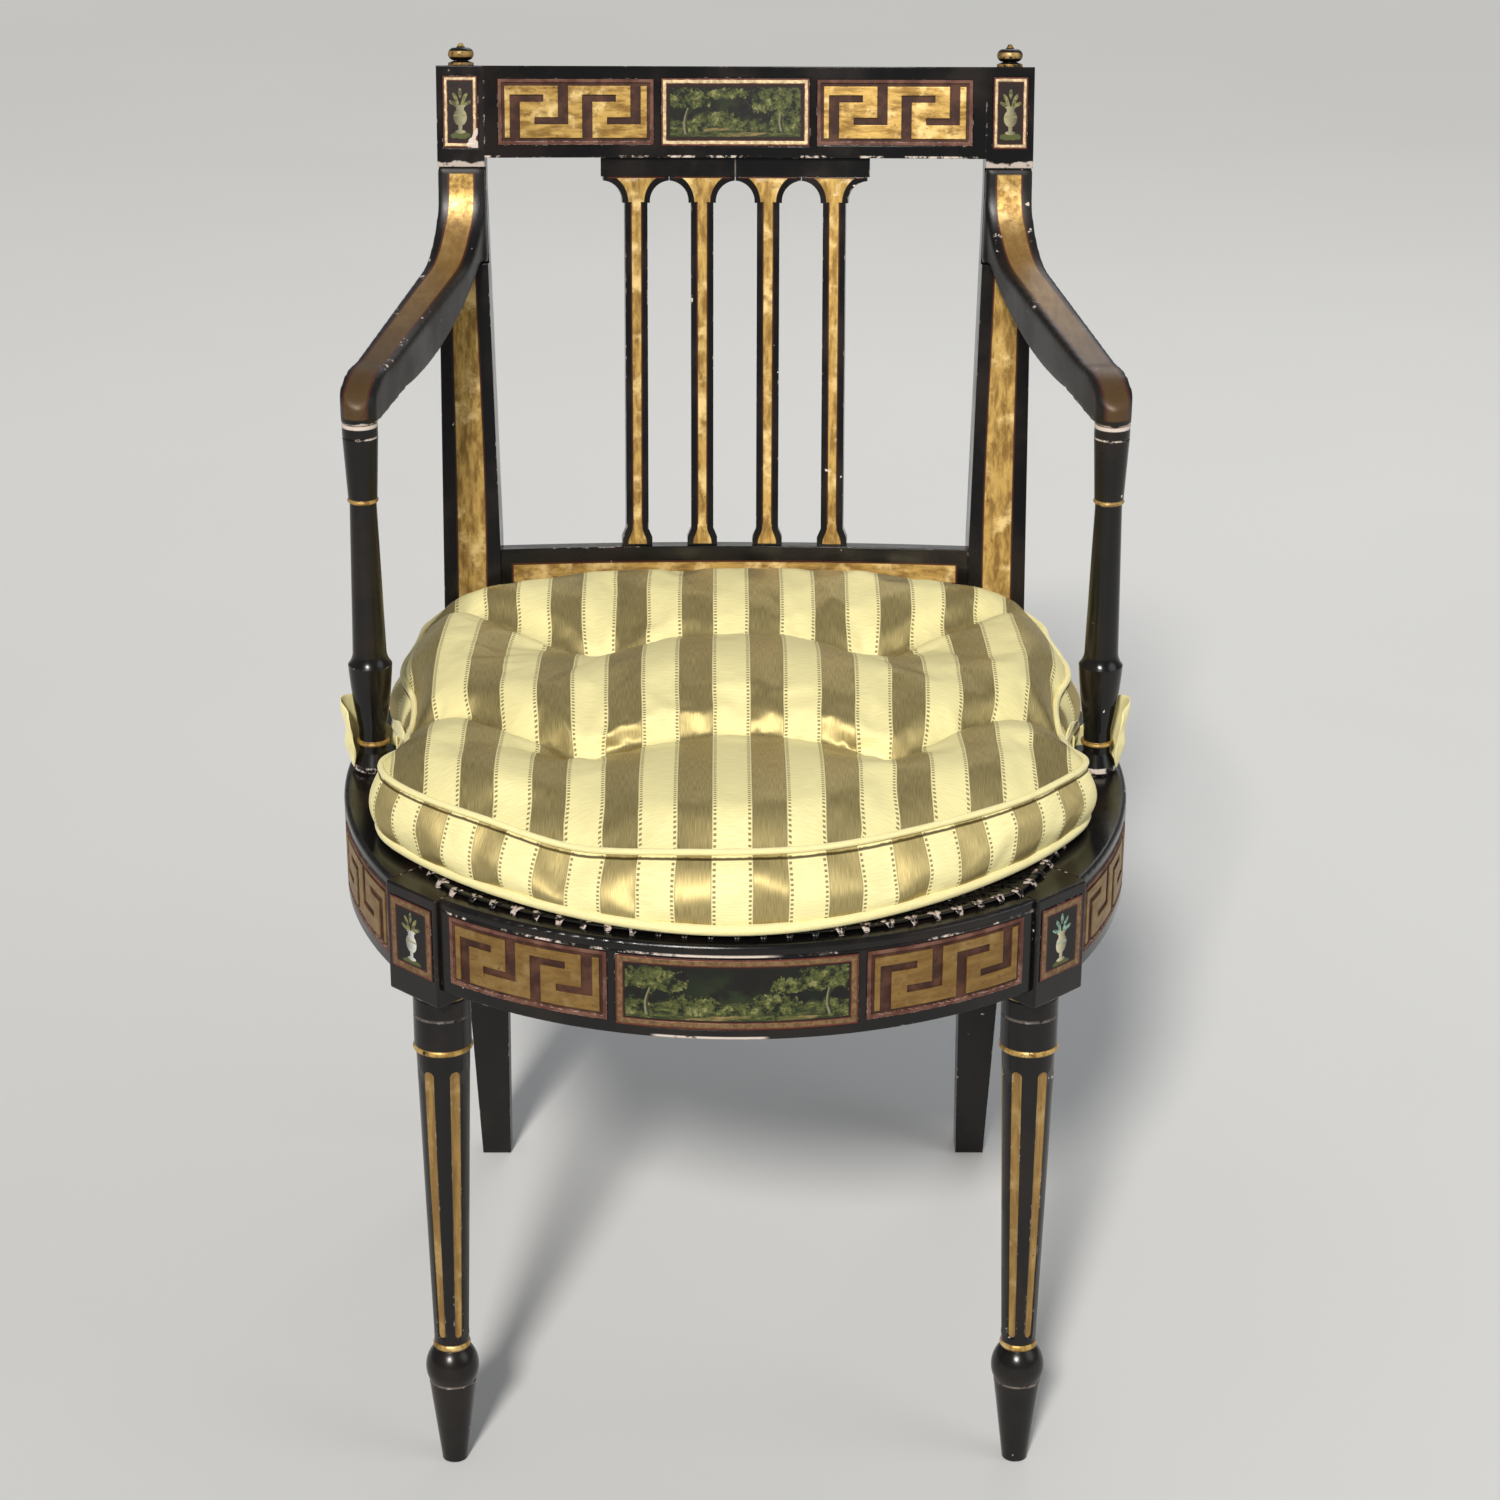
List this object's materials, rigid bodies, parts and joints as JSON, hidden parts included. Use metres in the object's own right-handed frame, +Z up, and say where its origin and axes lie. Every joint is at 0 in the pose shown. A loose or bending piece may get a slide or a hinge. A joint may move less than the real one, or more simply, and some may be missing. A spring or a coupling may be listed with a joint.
{
  "type": "cane armchair",
  "caption": "Ebonised and gilt elbow chair with a cane seat, painted and Greek key panels, turned posts and front legs, and a loose tufted cushion tied to the arm posts.",
  "frame": {"origin": "on the floor below the middle of the chair's bounding box", "axes": "+Z up, -Y towards the chair's front, +X towards the right of someone who looks at its front"},
  "size_m": [0.5496, 0.5972, 0.8684],
  "materials": {
    "ebonised_wood": "glossy black japanning, worn",
    "gilt_panel": "gilt over red, worn",
    "painted_panel": "painted and varnished",
    "cane": "woven cane",
    "bare_wood": "bare",
    "screw_steel": "dull",
    "striped_fabric": "satin stripe"
  },
  "bodies": {
    "chair": {"arm_left": "ebonised_wood", "arm_post_left": "ebonised_wood", "arm_post_right": "ebonised_wood", "arm_right": "ebonised_wood", "arm_screws": "screw_steel", "block_picture_panel_left": "painted_panel", "block_picture_panel_right": "painted_panel", "cane_binding": "cane", "cane_seat": "cane", "crest_key_panel_left": "gilt_panel", "crest_key_panel_right": "gilt_panel", "crest_picture_panel": "painted_panel", "crest_rail": "ebonised_wood", "finial_left": "ebonised_wood", "finial_right": "ebonised_wood", "front_key_panel_left": "gilt_panel", "front_key_panel_right": "gilt_panel", "front_leg_block_left": "ebonised_wood", "front_leg_block_right": "ebonised_wood", "front_leg_left": "ebonised_wood", "front_leg_right": "ebonised_wood", "front_picture_panel": "painted_panel", "front_seat_rail": "ebonised_wood", "head_rail_dowels": "bare_wood", "lower_back_rail": "ebonised_wood", "rail_dowels": "bare_wood", "rear_leg_left": "ebonised_wood", "rear_leg_right": "ebonised_wood", "rear_seat_rail": "ebonised_wood", "side_key_panel_left": "gilt_panel", "side_key_panel_right": "gilt_panel", "side_seat_rail_left": "ebonised_wood", "side_seat_rail_right": "ebonised_wood", "splat_column_1": "ebonised_wood", "splat_column_2": "ebonised_wood", "splat_column_3": "ebonised_wood", "splat_column_4": "ebonised_wood", "splat_head_rail": "ebonised_wood", "stile_picture_panel_left": "painted_panel", "stile_picture_panel_right": "painted_panel"},
    "cushion": {"seat_cushion": "striped_fabric", "cushion_tie_left": "striped_fabric", "cushion_tie_right": "striped_fabric"}
  },
  "joints": [
    {"name": "cushion_lift", "type": "slide", "parent": "chair", "child": "cushion", "axis": [0, 0, 1], "range_m": [0, 0.15]}
  ]
}
